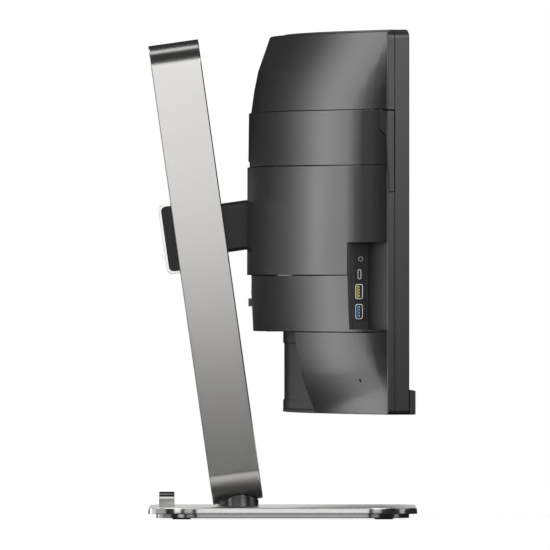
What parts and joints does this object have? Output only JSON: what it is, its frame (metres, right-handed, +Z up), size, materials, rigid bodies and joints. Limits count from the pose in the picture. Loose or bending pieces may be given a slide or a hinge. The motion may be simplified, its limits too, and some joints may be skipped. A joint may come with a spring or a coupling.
{
  "type": "computer monitor",
  "caption": "Wide curved desktop monitor on a leaning loop column with height, tilt and swivel, side ports and a fold-out headset hook.",
  "frame": {"origin": "centre of the base's footprint, on the desk", "axes": "+X towards the user's right, the screen faces -Y, +Z up"},
  "size_m": [1.206, 0.2619, 0.4704],
  "materials": {
    "base_metal": "fine bead-blasted silver with a polished edge",
    "under_plate_metal": "silver, satin",
    "foot_rubber": "matt black rubber",
    "screw_steel": "zinc",
    "hoop_metal": "satin silver",
    "slide_plastic": "low-friction plastic",
    "bolt_steel": "zinc",
    "hub_plastic": "dark grey satin",
    "column_metal": "satin silver with a chamfered dark edge",
    "core_plastic": "dark grey satin",
    "rail_steel": "ground steel",
    "rail_block_plastic": "moulded",
    "drum_plastic": "moulded",
    "spring_steel": "blued spring steel",
    "guide_plastic": "dark grey satin",
    "guide_trim_metal": "polished",
    "carriage_metal": "die cast",
    "bush_plastic": "low-friction plastic",
    "arm_paint": "dark grey satin paint",
    "pin_steel": "ground steel",
    "washer_brass": "plain",
    "bracket_steel": "black oxide",
    "mount_plate_paint": "dark satin paint",
    "mount_screw_steel": "zinc",
    "recess_plastic": "fine texture",
    "chassis_steel": "galvanised",
    "bezel_plastic": "dark grey satin",
    "chin_plastic": "dark grey satin",
    "mid_frame_plastic": "dark grey satin",
    "screen_glass": "anti-glare",
    "diffuser_film": "white film",
    "guide_acrylic": "clear acrylic",
    "led_board": "white board with lamps",
    "tray_metal": "plain sheet",
    "shell_plastic": "dark grey satin",
    "back_panel_plastic": "fine texture",
    "board_green": "solder mask",
    "board_brown": "laminate",
    "speaker_plastic": "moulded",
    "port_bay_plastic": "fine texture",
    "jack_plastic": "black",
    "connector_steel": "nickel",
    "tongue_plastic": "yellow and blue",
    "inlet_plastic": "black",
    "hook_plastic": "dark grey satin",
    "release_plastic": "light grey",
    "rocker_plastic": "black",
    "key_plastic": "black satin"
  },
  "bodies": {
    "base": {"base_plate": "base_metal", "base_under_plate": "under_plate_metal", "rubber_feet": "foot_rubber", "base_screws": "screw_steel", "cable_hoop": "hoop_metal", "swivel_disc": "slide_plastic", "swivel_bolt": "bolt_steel"},
    "column": {"hub_cover": "hub_plastic", "column_band": "column_metal", "column_core": "core_plastic", "guide_rails": "rail_steel", "rail_blocks": "rail_block_plastic", "spring_drum": "drum_plastic", "lift_spring": "spring_steel", "cable_guide": "guide_plastic", "cable_guide_trim": "guide_trim_metal"},
    "carriage": {"carriage_block": "carriage_metal", "carriage_bushes": "bush_plastic", "support_arm": "arm_paint", "hinge_pin": "pin_steel", "friction_washers": "washer_brass"},
    "hook": {"headset_hook": "hook_plastic"},
    "release": {"release_button": "release_plastic"},
    "rocker": {"rocker_switch": "rocker_plastic"},
    "key_menu": {"menu_button": "key_plastic"},
    "key_minus": {"minus_button": "key_plastic"},
    "key_plus": {"plus_button": "key_plastic"},
    "key_power": {"power_button": "key_plastic"},
    "head": {"tilt_bracket": "bracket_steel", "mount_plate": "mount_plate_paint", "mount_screws": "mount_screw_steel", "mount_recess": "recess_plastic", "chassis_plate": "chassis_steel", "front_bezel": "bezel_plastic", "chin_strip": "chin_plastic", "mid_frame": "mid_frame_plastic", "lcd_panel": "screen_glass", "diffuser_sheets": "diffuser_film", "light_guide": "guide_acrylic", "led_bar": "led_board", "backlight_tray": "tray_metal", "rear_top_shell": "shell_plastic", "rear_upper_band": "shell_plastic", "rear_center_cover": "shell_plastic", "rear_port_cover": "shell_plastic", "rear_lower_shells": "shell_plastic", "back_panel": "back_panel_plastic", "main_board": "board_green", "power_board": "board_brown", "speakers": "speaker_plastic", "port_bay": "port_bay_plastic", "audio_jack": "jack_plastic", "usb_c_port": "connector_steel", "usb_a_shells": "connector_steel", "usb_tongues": "tongue_plastic", "video_ports": "connector_steel", "ac_inlet": "inlet_plastic", "hook_pin": "pin_steel", "button_board": "board_green"}
  },
  "joints": [
    {"name": "base_swivel", "type": "hinge", "parent": "base", "child": "column", "pos_m": [0, 0.0435, 0.02], "axis": [0, 0, 1], "range_deg": [-20, 20]},
    {"name": "height_slide", "type": "slide", "parent": "column", "child": "carriage", "axis": [0, 0.1403, 0.9901], "range_m": [-0.05, 0.1]},
    {"name": "head_tilt", "type": "hinge", "parent": "carriage", "child": "head", "pos_m": [0, 0.025, 0.2846], "axis": [-1, 0, 0], "range_deg": [-5, 15]},
    {"name": "hook_fold", "type": "hinge", "parent": "head", "child": "hook", "pos_m": [-0.59881, -0.10147, 0.3197], "axis": [0.3313, -0.9435, 0], "range_deg": [0, 90]},
    {"name": "release_press", "type": "slide", "parent": "head", "child": "release", "axis": [0, -1, 0], "range_m": [0, 0.002], "stiffness_N_per_m": 500},
    {"name": "rocker_tip", "type": "hinge", "parent": "head", "child": "rocker", "pos_m": [-0.08, 0.0121, 0.1865], "axis": [0, 1, 0], "range_deg": [0, 14]},
    {"name": "menu_press", "type": "slide", "parent": "head", "child": "key_menu", "axis": [0, 0, 1], "range_m": [0, 0.0006], "stiffness_N_per_m": 800},
    {"name": "minus_press", "type": "slide", "parent": "head", "child": "key_minus", "axis": [0, 0, 1], "range_m": [0, 0.0006], "stiffness_N_per_m": 800},
    {"name": "plus_press", "type": "slide", "parent": "head", "child": "key_plus", "axis": [0, 0, 1], "range_m": [0, 0.0006], "stiffness_N_per_m": 800},
    {"name": "power_press", "type": "slide", "parent": "head", "child": "key_power", "axis": [0, 0, 1], "range_m": [0, 0.0006], "stiffness_N_per_m": 800}
  ]
}
